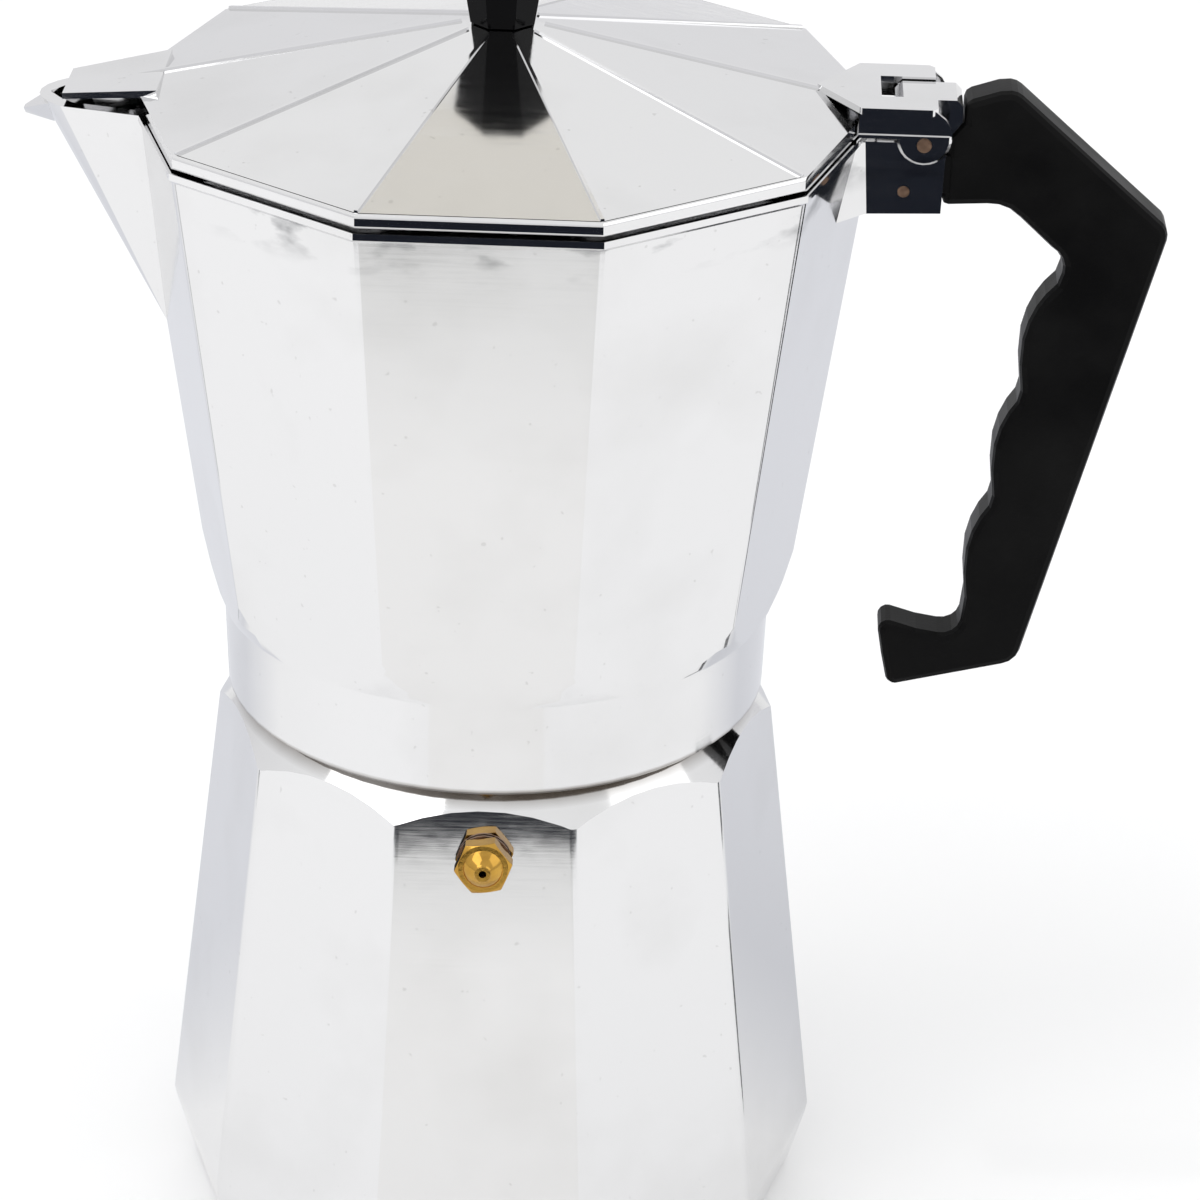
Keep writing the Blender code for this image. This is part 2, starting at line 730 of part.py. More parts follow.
def handle_outline():
    outline = [(81.6, 223.2), (81.6, 227.1), (87.6, 229.1)]
    outline += arc((89.4, 225.9), 3.4, 105.0, 48.0, 3)
    outline += arc((115.3, 203.0), 3.6, 40.0, -12.0, 3)
    outline += arc((94.2, 120.4), 4.0, -14.0, -78.0, 3)
    outline += arc((75.1, 113.3), 1.8, -85.0, -160.0, 3)
    outline += [(72.3, 117.8), (71.5, 122.4)]
    outline += arc((73.3, 122.8), 1.8, 165.0, 75.0, 3)
    outline += [(78.6, 123.1)]
    outline += arc((83.2, 126.0), 3.6, -100.0, -12.0, 4)
    outline += finger_edge()
    outline += [(100.0, 193.2)]
    outline += arc((96.4, 196.4), 4.4, -12.0, 62.0, 4)
    outline += [(92.6, 205.7)]
    outline += arc((87.2, 200.9), 7.2, 62.0, 95.0, 2)
    outline += [(78.4, 207.6), (78.9, 219.9)]
    return outline


def make_handle(frame):
    grip = handle_outline()
    handle = side_plate("handle", grip, -TONGUE_HALF, TONGUE_HALF, HANDLE_PLASTIC, frame)
    soften(handle, 1.3, 2, 50.0)
    tongue_outline = [(68.0, 210.2), (79.6, 210.2), (79.6, 217.1), (68.0, 217.1)]
    tongue_half = TONGUE_HALF - TONGUE_INSET
    tongue = side_plate("handle_tongue", tongue_outline, -tongue_half, tongue_half)
    combine(handle, "UNION", tongue)
    combine(handle, "DIFFERENCE", cross_hole("tongue_hole", HANDLE_PIN_R, HANDLE_PIN))
    pin_x, pin_z = HANDLE_PIN
    half = LUG_HALF + 0.1
    rod(
        "handle_pin",
        HANDLE_PIN_R,
        (pin_x, -half, pin_z),
        (pin_x, half, pin_z),
        FINE_STEPS,
        COPPERED_STEEL,
        frame,
    )


# ---------------------------------------------------------------- lid
def lid_height(corner_r):
    """Height of the lid's upper side on a corner line, at this distance from the axis."""
    drop = (LID_TOP_Z - LID_EDGE_Z) / (LID_R - LID_TOP_R)
    return LID_EDGE_Z + (LID_R - corner_r) * drop


def make_lid_ridges(frame):
    """A raised seam along each of the ten corner lines, from the knob to the edge."""
    bm = bmesh.new()
    inner_r = 7.4
    outer_r = LID_R - 0.7
    for side in range(SIDES):
        angle = 2.0 * math.pi * side / SIDES
        spin = Matrix.Rotation(angle, 3, "Z")
        rows = []
        for r in (inner_r, outer_r):
            z = lid_height(r)
            section = (
                (-RIDGE_HALF_WIDTH, z - 0.5),
                (RIDGE_HALF_WIDTH, z - 0.5),
                (RIDGE_HALF_WIDTH * 0.6, z + RIDGE_HEIGHT),
                (-RIDGE_HALF_WIDTH * 0.6, z + RIDGE_HEIGHT),
            )
            rows.append([bm.verts.new(spin @ Vector((r, y, h)) * MM) for y, h in section])
        for i in range(4):
            j = (i + 1) % 4
            bm.faces.new((rows[0][i], rows[0][j], rows[1][j], rows[1][i]))
        bm.faces.new(rows[0])
        bm.faces.new(rows[1][::-1])
    return place("lid_ridges", finish_mesh(bm, "lid_ridges"), None, frame)


def ear_outline(radius):
    """A hinge ear seen from the side, with this radius around the hinge's axis."""
    centre_z = EAR_TOP_Z - EAR_DROP
    outline = [(EAR_FRONT_X, EAR_TOP_Z), (EAR_FRONT_X, centre_z), (HINGE_X - radius, centre_z)]
    outline += arc((HINGE_X, centre_z), radius, 185.0, 355.0, 12)
    outline += [(HINGE_X + radius, EAR_TOP_Z)]
    return outline


def chamfered_ear(name, side, inner, frame):
    """A hinge ear from its inner face outward, its outer edge chamfered."""
    full = ear_outline(EAR_R)
    rings = [
        [(x, side * inner, z) for x, z in full],
        [(x, side * (CHANNEL_HALF - EAR_CHAMFER), z) for x, z in full],
        [(x, side * CHANNEL_HALF, z) for x, z in ear_outline(EAR_R - EAR_CHAMFER)],
    ]
    return loft(name, rings, parent=frame)


def make_lid(frame):
    sheet = [
        (2.3, LID_TOP_Z),
        (LID_TOP_R, LID_TOP_Z),
        (LID_R, LID_EDGE_Z),
        (LID_R, LID_SKIRT_Z),
        (LID_R - 1.2, LID_SKIRT_Z),
        (LID_R - 1.4, LID_EDGE_Z - LID_SHEET),
        (LID_TOP_R, LID_TOP_Z - LID_SHEET),
        (2.3, LID_TOP_Z - LID_SHEET),
    ]
    lid = turned("lid", sheet, SIDES, CAST_ALUMINIUM, frame)

    flap = loft(
        "lid_flap",
        [
            [(-60.0, -11.0, 225.4), (-60.0, 11.0, 225.4), (-60.0, 11.0, 226.7), (-60.0, -11.0, 226.7)],
            [(-77.3, -6.5, 222.9), (-77.3, 6.5, 222.9), (-77.3, 6.5, 224.0), (-77.3, -6.5, 224.0)],
        ],
        parent=frame,
    )
    plate_low = CHANNEL_TOP_Z - CHANNEL_WALL
    roof_outline = [
        (63.3, -CHANNEL_HALF),
        (75.6, -CHANNEL_HALF),
        (76.6, -CHANNEL_HALF + 1.0),
        (76.6, CHANNEL_HALF - 1.0),
        (75.6, CHANNEL_HALF),
        (63.3, CHANNEL_HALF),
        (55.6, 0.0),
    ]
    roof = loft(
        "channel_roof",
        [
            [(x, y, plate_low) for x, y in roof_outline],
            [(x, y, CHANNEL_TOP_Z) for x, y in roof_outline],
        ],
        parent=frame,
    )
    side_low_z = EAR_TOP_Z - 0.5
    side_outline = [
        (EAR_FRONT_X, side_low_z),
        (HINGE_X + EAR_R, side_low_z),
        (HINGE_X + EAR_R, 224.2),
        (78.0, 226.3),
        (76.2, 227.7),
        (74.6, CHANNEL_TOP_Z),
        (EAR_FRONT_X, CHANNEL_TOP_Z),
    ]
    inner = CHANNEL_HALF - CHANNEL_WALL
    outer = CHANNEL_HALF - EAR_STEP
    sides = [
        side_plate("side_near", side_outline, -outer, -inner, parent=frame),
        side_plate("side_far", side_outline, inner, outer, parent=frame),
        chamfered_ear("ear_near", -1.0, inner, frame),
        chamfered_ear("ear_far", 1.0, inner, frame),
    ]
    combine(lid, "UNION", make_lid_ridges(frame), flap, roof, *sides)

    slot_outline = [(SLOT_FRONT_X, 221.0), (90.0, 221.0), (90.0, 232.0), (SLOT_FRONT_X, 232.0)]
    slot = side_plate("channel_slot", slot_outline, -SLOT_HALF, SLOT_HALF, parent=frame)
    combine(lid, "DIFFERENCE", slot, cross_hole("lid_hinge_hole", HINGE_PIN_R, (HINGE_X, HINGE_Z)))


def make_knob(frame):
    """The knob, the threaded insert moulded into it, and the screw and washer from below."""
    bore_r = 2.6
    bore_top = KNOB_BASE_Z + 13.5
    profile = [
        (0.0, KNOB_TOP_Z),
        (5.6, KNOB_TOP_Z - 0.3),
        (8.4, KNOB_TOP_Z - 1.4),
        (KNOB_TOP_R, KNOB_TOP_Z - 3.4),
        (KNOB_TOP_R, KNOB_TOP_Z - 4.6),
        (KNOB_BASE_R, KNOB_BASE_Z),
        (bore_r, KNOB_BASE_Z),
        (bore_r, bore_top),
        (0.0, bore_top),
    ]
    turned("knob", profile, KNOB_SIDES, KNOB_PLASTIC, frame, turn=math.pi / KNOB_SIDES)

    insert_low = KNOB_BASE_Z + 0.8
    insert_top = bore_top - 0.6
    insert_r = 2.1
    thread_r = 1.65
    insert = [
        (insert_r, insert_top),
        (insert_r, insert_low),
        (thread_r, insert_low),
        (thread_r, insert_top),
    ]
    turned("knob_insert", insert, FINE_STEPS, BRASS, frame)

    washer_top = LID_TOP_Z - LID_SHEET - GAP
    washer_low = washer_top - 0.7
    washer = [(4.6, washer_top), (4.6, washer_low), (1.7, washer_low), (1.7, washer_top)]
    turned("knob_washer", washer, FINE_STEPS, STEEL, frame)

    head_top = washer_low - GAP
    screw = [
        (0.0, insert_top - 1.0),
        (1.35, insert_top - 1.0),
        (1.35, head_top),
        (3.4, head_top),
        (3.4, head_top - 0.8),
        (2.5, head_top - 1.8),
        (0.0, head_top - 2.0),
    ]
    obj = turned("knob_screw", screw, FINE_STEPS, STEEL, frame)
    slot_top = head_top - 1.0
    slot_outline = [(-5.0, slot_top - 3.0), (5.0, slot_top - 3.0), (5.0, slot_top), (-5.0, slot_top)]
    combine(obj, "DIFFERENCE", side_plate("screw_slot", slot_outline, -0.4, 0.4, parent=frame))


def make_hinge_pin(frame):
    half = CHANNEL_HALF + 0.25
    start = (HINGE_X, -half, HINGE_Z)
    end = (HINGE_X, half, HINGE_Z)
    rod("hinge_pin", HINGE_PIN_R, start, end, FINE_STEPS, COPPERED_STEEL, frame)


# ---------------------------------------------------------------- assembly
boiler_axis = axis_empty("boiler_axis", (0, 0, 0), (0, 0, math.radians(SEATED_MISALIGNMENT)))
screw_axis = axis_empty("collector_screw_axis", (0, 0, CEILING_Z))
lid_axis = axis_empty("lid_hinge_axis", (HINGE_X, 0, HINGE_Z - CEILING_Z), parent=screw_axis)

make_valve(make_boiler(boiler_axis), boiler_axis)
make_funnel(boiler_axis)
make_gasket_and_plate(screw_axis)
make_collector(screw_axis)
make_column_cap(screw_axis)
make_handle(screw_axis)
make_hinge_pin(screw_axis)
make_lid(lid_axis)
make_knob(lid_axis)
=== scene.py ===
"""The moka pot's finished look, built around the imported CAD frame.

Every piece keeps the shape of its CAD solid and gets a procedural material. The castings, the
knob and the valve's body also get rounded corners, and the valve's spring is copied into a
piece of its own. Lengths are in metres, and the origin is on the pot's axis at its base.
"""

import json
import math

import bmesh
import bpy
from mathutils import Matrix, Vector


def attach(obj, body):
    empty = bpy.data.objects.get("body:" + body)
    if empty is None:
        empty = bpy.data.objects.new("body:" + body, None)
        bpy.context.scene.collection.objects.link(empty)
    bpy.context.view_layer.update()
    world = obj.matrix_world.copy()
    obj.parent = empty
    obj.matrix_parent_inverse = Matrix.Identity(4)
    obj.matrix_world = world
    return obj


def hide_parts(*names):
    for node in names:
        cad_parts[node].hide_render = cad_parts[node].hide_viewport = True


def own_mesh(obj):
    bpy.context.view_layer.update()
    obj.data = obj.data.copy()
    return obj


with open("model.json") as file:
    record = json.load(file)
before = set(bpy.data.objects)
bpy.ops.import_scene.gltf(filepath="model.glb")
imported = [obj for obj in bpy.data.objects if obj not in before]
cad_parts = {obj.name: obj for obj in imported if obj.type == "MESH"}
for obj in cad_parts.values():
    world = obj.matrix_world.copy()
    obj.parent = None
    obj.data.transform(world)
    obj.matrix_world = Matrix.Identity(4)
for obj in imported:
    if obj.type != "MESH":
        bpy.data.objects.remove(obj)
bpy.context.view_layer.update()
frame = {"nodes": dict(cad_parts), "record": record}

scene = bpy.context.scene
behaviour = frame["record"]["behaviour"]
bodies_of_nodes = {node: body for body, nodes in behaviour["bodies"].items() for node in nodes}
slots_of_nodes = {part["node"]: part["material_slot"] for part in frame["record"]["subparts"]}


# ---------------------------------------------------------------- material building blocks
class Nodes:
    """A material's node tree, with short ways to add and join its nodes."""

    def __init__(self, name):
        self.material = bpy.data.materials.new(name)
        self.material.use_nodes = True
        self.tree = self.material.node_tree
        self.shader = self.tree.nodes["Principled BSDF"]
        self.coordinates = self.tree.nodes.new("ShaderNodeTexCoord").outputs["Object"]

    def set(self, **values):
        """Sets the shader's own values, with _ for the spaces in their names."""
        for name, value in values.items():
            self.shader.inputs[name.replace("_", " ")].default_value = value

    def link(self, output, socket):
        self.tree.links.new(output, socket)

    def drive(self, name, output):
        """Feeds one of the shader's sockets."""
        self.link(output, self.shader.inputs[name])

    def noise(self, per_metre, stretch=(1.0, 1.0, 1.0), detail=3.0, roughness=0.5):
        mapping = self.tree.nodes.new("ShaderNodeMapping")
        mapping.inputs["Scale"].default_value = stretch
        self.link(self.coordinates, mapping.inputs["Vector"])
        noise = self.tree.nodes.new("ShaderNodeTexNoise")
        noise.inputs["Scale"].default_value = per_metre
        noise.inputs["Detail"].default_value = detail
        noise.inputs["Roughness"].default_value = roughness
        self.link(mapping.outputs["Vector"], noise.inputs["Vector"])
        return noise.outputs["Fac"]

    def remap(self, value, source, target=(0.0, 1.0)):
        """The value taken from the source range to the target range, and held at its ends."""
        node = self.tree.nodes.new("ShaderNodeMapRange")
        node.inputs["From Min"].default_value, node.inputs["From Max"].default_value = source
        node.inputs["To Min"].default_value, node.inputs["To Max"].default_value = target
        self.link(value, node.inputs["Value"])
        return node.outputs["Result"]

    def math(self, operation, first, second):
        node = self.tree.nodes.new("ShaderNodeMath")
        node.operation = operation
        for socket, value in zip(node.inputs, (first, second)):
            if isinstance(value, (int, float)):
                socket.default_value = value
            else:
                self.link(value, socket)
        return node.outputs["Value"]

    def times(self, first, second):
        return self.math("MULTIPLY", first, second)

    def band(self, value, rise, fall):
        """Goes from 0 to 1 over the first range, and back to 0 over the second."""
        return self.times(self.remap(value, rise), self.remap(value, fall, (1.0, 0.0)))

    def mix(self, factor, first, second):
        """The first colour where the factor is 0, and the second where it is 1."""
        node = self.tree.nodes.new("ShaderNodeMix")
        node.data_type = "RGBA"
        self.link(factor, node.inputs["Factor"])
        for socket, value in ((node.inputs["A"], first), (node.inputs["B"], second)):
            if isinstance(value, tuple):
                socket.default_value = (*value, 1.0)
            else:
                self.link(value, socket)
        return node.outputs["Result"]

    def along(self, axis):
        split = self.tree.nodes.new("ShaderNodeSeparateXYZ")
        self.link(self.coordinates, split.inputs["Vector"])
        return split.outputs[axis]

    def bump(self, height, distance, strength):
        """Adds a bump on top of the ones added before it."""
        node = self.tree.nodes.new("ShaderNodeBump")
        node.inputs["Distance"].default_value = distance
        node.inputs["Strength"].default_value = strength
        self.link(height, node.inputs["Height"])
        for link in list(self.tree.links):
            if link.to_socket == self.shader.inputs["Normal"]:
                self.link(link.from_socket, node.inputs["Normal"])
        self.drive("Normal", node.outputs["Normal"])


# ---------------------------------------------------------------- the pot's materials
ALUMINIUM = (0.758, 0.758, 0.764)
ALUMINIUM_SMUDGED = (0.705, 0.704, 0.706)
PIT_GREY = (0.35, 0.34, 0.33)
# painted shade: the dark reflection of the lid's skirt, painted under the collector's rim
RIM_SHADE_GREY = (0.07, 0.075, 0.085)
# brown of the band along the boiler-collector joint: grime, with painted shade of the gap
JOINT_GRIME_AND_SHADE = (0.16, 0.135, 0.11)
SHEET_LIGHT = (0.82, 0.82, 0.83)
SHEET_DARK = (0.70, 0.70, 0.71)
BRASS_LIGHT = (0.66, 0.39, 0.075)
BRASS_DARK = (0.34, 0.18, 0.035)
PIN_LIGHT = (0.40, 0.26, 0.18)
PIN_DARK = (0.16, 0.10, 0.07)
STEEL_LIGHT = (0.62, 0.61, 0.60)
STEEL_DARK = (0.45, 0.44, 0.43)
SILICONE_LIGHT = (0.82, 0.80, 0.75)
SILICONE_DARK = (0.72, 0.70, 0.64)
HANDLE_BLACK = (0.0032, 0.0032, 0.0034)
HANDLE_WORN = (0.0065, 0.0065, 0.0065)
KNOB_BLACK = (0.0030, 0.0030, 0.0033)
KNOB_WORN = (0.0060, 0.0060, 0.0064)

MIDTONES = (0.3, 0.7)  # the part of a noise's range that most of its points lie in
BRUSHING_PER_METRE = (60.0, 60.0, 2600.0)  # long level strokes, close together in height
TURNING_PER_METRE = (90.0, 90.0, 3800.0)
CLOUDS_PER_METRE = 28.0
PITS_PER_METRE = 640.0
BLOTCHES_PER_METRE = 75.0
BLOTCH_STRETCH = (1.0, 1.0, 2.2)
PIT_STRENGTH = 0.25
# how dark the painted shade under the collector's rim gets
RIM_SHADE_STRENGTH = 0.75
SMUDGE_ROUGHNESS = 0.04  # what a smudge adds

RIM_SHADE_RISE = (0.2125, 0.2190)  # heights: the painted shade grows towards the collector's rim, standing in for the lid skirt's dark reflection
RIM_SHADE_FALL = (0.2205, 0.2208)
SPOUT_TO_WALL = (-0.050, -0.040)  # x: from the spout, which has no painted shade, to the walls
JOINT_RISE = (0.1064, 0.1092)  # heights: the joint between boiler and collector
JOINT_FALL = (0.1106, 0.1114)


def polished_casting():
    """Cast aluminium, polished: bright, with fine level brushing, faint smudges, a few pits,
    painted shade under the collector's rim that stands in for the lid skirt's dark reflection, and
    a brown band where the collector meets the boiler: grime, with painted shade of the gap there."""
    made = Nodes("polished_casting")
    made.set(Metallic=1.0)
    cloud = made.noise(CLOUDS_PER_METRE, detail=4.0)
    smudge = made.remap(cloud, (0.50, 0.72))
    brushing = made.noise(1.0, BRUSHING_PER_METRE, detail=3.0, roughness=0.65)
    pits = made.remap(made.noise(PITS_PER_METRE, detail=1.0), (0.75, 0.79))
    blotches = made.noise(BLOTCHES_PER_METRE, BLOTCH_STRETCH, detail=5.0)
    blotches = made.remap(blotches, (0.50, 0.66))
    height = made.along("Z")
    # painted shade under the collector's rim, standing in for the lid skirt's dark reflection, in
    # blotches and none at the spout
    under_rim = made.band(height, RIM_SHADE_RISE, RIM_SHADE_FALL)
    under_rim = made.times(under_rim, made.remap(made.along("X"), SPOUT_TO_WALL))
    marks = made.times(made.times(under_rim, blotches), RIM_SHADE_STRENGTH)
    # a brown band along the joint between boiler and collector: grime, with painted shade of the
    # gap there
    in_joint = made.band(height, JOINT_RISE, JOINT_FALL)
    grime_and_shade = made.times(in_joint, made.remap(cloud, (0.30, 0.60), (0.55, 0.95)))

    tone = made.mix(smudge, ALUMINIUM, ALUMINIUM_SMUDGED)
    tone = made.mix(made.times(pits, PIT_STRENGTH), tone, PIT_GREY)
    # the painted shade under the collector's rim
    tone = made.mix(marks, tone, RIM_SHADE_GREY)
    # the joint's grime, with painted shade of the gap
    tone = made.mix(grime_and_shade, tone, JOINT_GRIME_AND_SHADE)
    made.drive("Base Color", tone)
    rough = made.remap(brushing, MIDTONES, (0.045, 0.095))
    rough = made.math("ADD", rough, made.times(smudge, SMUDGE_ROUGHNESS))
    made.drive("Roughness", rough)
    made.bump(brushing, distance=0.00002, strength=0.05)
    made.bump(cloud, distance=0.0006, strength=0.16)
    return made.material


def spun_sheet():
    """Spun sheet aluminium: duller, with close turning lines."""
    made = Nodes("spun_sheet")
    made.set(Metallic=1.0)
    lines = made.noise(1.0, TURNING_PER_METRE, detail=2.0)
    made.drive("Base Color", made.mix(lines, SHEET_DARK, SHEET_LIGHT))
    made.drive("Roughness", made.remap(lines, MIDTONES, (0.28, 0.42)))
    made.bump(lines, distance=0.00003, strength=0.5)
    return made.material


def metal(name, dark, light, roughness, grains_per_metre):
    """A small turned or drawn metal piece, mottled between two tones."""
    made = Nodes(name)
    made.set(Metallic=1.0)
    mottle = made.noise(grains_per_metre, detail=3.0)
    made.drive("Base Color", made.mix(mottle, dark, light))
    made.drive("Roughness", made.remap(mottle, MIDTONES, roughness))
    made.bump(made.noise(grains_per_metre * 4.0, detail=2.0), distance=0.00002, strength=0.4)
    return made.material


def moulding(name, colour, worn, roughness, skin_depth):
    """A black moulding: fine skin texture, and slightly greyer where it is rubbed."""
    made = Nodes(name)
    made.set(Specular_IOR_Level=0.07)
    cloud = made.noise(55.0, detail=4.0)
    rubbed = made.remap(cloud, (0.4, 0.75))
    made.drive("Base Color", made.mix(rubbed, colour, worn))
    made.drive("Roughness", made.remap(cloud, (0.35, 0.7), roughness))
    made.bump(made.noise(2400.0, detail=2.0), distance=skin_depth, strength=0.5)
    return made.material


def soft_silicone():
    """The gasket's off-white silicone: dull and a little translucent."""
    made = Nodes("soft_silicone")
    made.set(Subsurface_Weight=0.1)
    cloud = made.noise(90.0, detail=3.0)
    made.drive("Base Color", made.mix(cloud, SILICONE_DARK, SILICONE_LIGHT))
    made.drive("Roughness", made.remap(cloud, MIDTONES, (0.5, 0.65)))
    made.bump(made.noise(900.0), distance=0.00003, strength=0.4)
    return made.material


FINISHES = {
    "cast_body": polished_casting(),
    "sheet_aluminium": spun_sheet(),
    "valve_brass": metal("turned_brass", BRASS_DARK, BRASS_LIGHT, (0.08, 0.18), 320.0),
    "coppered_steel": metal("coppered_steel", PIN_DARK, PIN_LIGHT, (0.30, 0.50), 900.0),
    "steel": metal("plain_steel", STEEL_DARK, STEEL_LIGHT, (0.22, 0.36), 500.0),
    "silicone": soft_silicone(),
    "handle_plastic": moulding(
        "handle_moulding", HANDLE_BLACK, HANDLE_WORN, roughness=(0.30, 0.46), skin_depth=0.00004
    ),
    "knob_plastic": moulding(
        "knob_moulding", KNOB_BLACK, KNOB_WORN, roughness=(0.10, 0.20), skin_depth=0.00001
    ),
}


# ---------------------------------------------------------------- pieces
SAME_SIDE = math.cos(math.radians(50.0))  # faces within this of each other shade smoothly
SQUARE_MM = 1.0e6  # in a square metre
LARGE_FACE = 900.0 / SQUARE_MM
LARGE_FACE_POWER = 3  # how strongly the larger faces at a corner set its normal
BEVEL_ANGLE = math.radians(25.0)  # edges sharper than this are rounded
FLAT_ANGLE = math.radians(0.4)  # faces flatter than this against each other are joined
MERGE = 0.00002
WIDE_SEGMENTS = 5
NARROW_SEGMENTS = 2

CORNER_RISE = 0.03  # least height of a body's long corner line
CORNER_OFF_AXIS = 0.045
CORNER_X = 0.056  # beyond this lie the spout and the handle's lug
SKIRT_TOP = 0.2256
SKIRT_OFF_AXIS = 0.0655  # between the skirt's inner and outer edges
SKIRT_LENGTH = 0.02
SKIRT_X = 0.060  # beyond this lie the lid's flap and its hinge


def wear(obj, slot):
    """Gives the object the slot's finish."""
    obj.data.materials.clear()
    obj.data.materials.append(FINISHES[slot])


def stand_in(obj, node):
    """Puts the piece in the node's place: same finish, same body."""
    slot = slots_of_nodes[node]
    wear(obj, slot)
    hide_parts(node)
    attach(obj, bodies_of_nodes[node])


def reach(edge):
    """The edge's ends, its nearest distance from the pot's axis, and its furthest x."""
    ends = [vert.co for vert in edge.verts]
    off_axis = min(math.hypot(end.x, end.y) for end in ends)
    return ends, off_axis, max(abs(end.x) for end in ends)


def is_body_corner(edge):
    """One of the long corner lines of a ten-sided body, clear of the spout and the handle's lug."""
    ends, off_axis, furthest_x = reach(edge)
    rise = abs(ends[0].z - ends[1].z)
    return rise > CORNER_RISE and off_axis > CORNER_OFF_AXIS and furthest_x < CORNER_X


def is_skirt_edge(edge):
    """An outer edge of the lid's skirt, clear of its flap and hinge."""
    ends, off_axis, furthest_x = reach(edge)
    is_low = max(end.z for end in ends) < SKIRT_TOP
    is_long = edge.calc_length() > SKIRT_LENGTH
    return is_low and is_long and off_axis > SKIRT_OFF_AXIS and furthest_x < SKIRT_X


def flatten_facets(mesh):
    """Sets the shading normals so that a large face shades flat right up to its rounded edges."""
    touching = [[] for vert in mesh.vertices]
    around_large = set()
    for face in mesh.polygons:
        for index in face.vertices:
            touching[index].append(face)
        if face.area > LARGE_FACE:
            around_large.update(face.edge_keys)
    for edge in mesh.edges:
        if edge.key in around_large:
            edge.use_edge_sharp = True
    normals = []
    for face in mesh.polygons:
        if face.area > LARGE_FACE:
            normals += [face.normal.copy()] * len(face.vertices)
            continue
        for index in face.vertices:
            total = Vector()
            for other in touching[index]:
                if other.normal.dot(face.normal) > SAME_SIDE:
                    total += other.normal * (other.area * SQUARE_MM) ** LARGE_FACE_POWER
            normals.append(total.normalized())
    mesh.normals_split_custom_set(normals)


def bevelled(mesh, name, width, wide):
    """The mesh with its weighted edges rounded wide and its other edges rounded narrow."""
    obj = bpy.data.objects.new(name, mesh)
    scene.collection.objects.link(obj)
    if wide:
        soft = obj.modifiers.new("wide_corners", "BEVEL")
        soft.width = wide
        soft.segments = WIDE_SEGMENTS
        soft.limit_method = "WEIGHT"
        soft.use_clamp_overlap = False
    corners = obj.modifiers.new("corners", "BEVEL")
    corners.width = width
    corners.segments = NARROW_SEGMENTS
    corners.limit_method = "ANGLE"
    corners.angle_limit = BEVEL_ANGLE
    graph = bpy.context.evaluated_depsgraph_get()
    obj.data = bpy.data.meshes.new_from_object(obj.evaluated_get(graph))
    obj.modifiers.clear()
    return obj


def rounded(node, width, is_wide=None, wide=0.0):
    """The node's own solid with its corners rounded, riding where the node rode. The edges that
    is_wide picks get the wide rounding."""
    mesh = frame["nodes"][node].data.copy()
    bm = bmesh.new()
    bm.from_mesh(mesh)
    bmesh.ops.remove_doubles(bm, verts=bm.verts, dist=MERGE)
    bmesh.ops.dissolve_limit(bm, angle_limit=FLAT_ANGLE, verts=bm.verts, edges=bm.edges)
    if is_wide:
        weights = bm.edges.layers.float.new("bevel_weight_edge")
        for edge in bm.edges:
            edge[weights] = float(edge.calc_face_angle(0.0) > BEVEL_ANGLE and is_wide(edge))
    bm.to_mesh(mesh)
    bm.free()
    obj = bevelled(mesh, node + "_finished", width, wide)
    obj.data.shade_smooth()
    flatten_facets(obj.data)
    stand_in(obj, node)


def add_valve_spring():
    """The spring as a piece of its own, with the spring's finish, riding with its body."""
    node = "safety_valve_spring"
    mesh = frame["nodes"][node].data.copy()
    obj = bpy.data.objects.new(node + "_finished", mesh)
    scene.collection.objects.link(obj)
    stand_in(obj, node)
    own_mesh(obj)


for name, node in frame["nodes"].items():
    wear(node, slots_of_nodes[name])

rounded("boiler", width=0.0006, is_wide=is_body_corner, wide=0.0010)
rounded("collector", width=0.0005, is_wide=is_body_corner, wide=0.0010)
rounded("lid", width=0.00022, is_wide=is_skirt_edge, wide=0.0007)
rounded("column_cap", width=0.0003)
rounded("knob", width=0.0007)
rounded("safety_valve_body", width=0.00018)
add_valve_spring()


# ---------------------------------------------------------------- floor, light and camera
WHITE_SWEEP = (0.965, 0.965, 0.965)
DARK_ROOM = (0.012, 0.014, 0.020)
BLUE_SHADE = (0.725, 0.735, 0.772)
WARM_WHITE = (0.925, 0.92, 0.91)
WARM_GREY = (0.76, 0.76, 0.75)
EDGE_GREY = (0.30, 0.30, 0.31)
CREAM = (0.84, 0.81, 0.74)
HORIZON = (0.80, 0.80, 0.82, 1.0)
OVERHEAD = (1.0, 1.0, 1.0, 1.0)
OVERHEAD_FROM = 0.6  # the sine of the elevation from which the world is white

MOTTLE = 0.985  # a plain paint's darker patches, as a share of its colour
FLOOR_RADIUS = 6.0
FLOOR_SEGMENTS = 96
CARD_HEIGHT = 0.002  # of the cards that lie on the floor
CARD_STEPS = 48
CARD_ROUGHNESS = 0.9
UNDER_POT = 0.060  # radius where the near cards start, under the boiler's edge
SWEEP_END = 0.372  # radius where the white sweep ends in front
CEILING_LOW = Vector((-0.165, 0.60, 1.2))
CEILING_HIGH = Vector((0.12, 0.95, 1.2))

MIDDLE = (0.0, 0.0, 0.12)
CAMERA_PLACE = Vector((0.04082, -0.70684, 0.47952))
CAMERA_YAW = math.radians(-1.7345)
CAMERA_PITCH = math.radians(26.6335)  # downwards
CAMERA_ROLL = math.radians(1.3679)
SENSOR_MM = 36.0
LENS_MM = 126.64
NEAREST_SEEN = 0.01


def plain(name, colour, roughness, shine=0.5):
    """Matt paint with faint, broad patches."""
    made = Nodes(name)
    made.set(Roughness=roughness, Specular_IOR_Level=shine)
    patches = made.noise(6.0)
    darker = tuple(channel * MOTTLE for channel in colour)
    made.drive("Base Color", made.mix(patches, darker, colour))
    return made.material


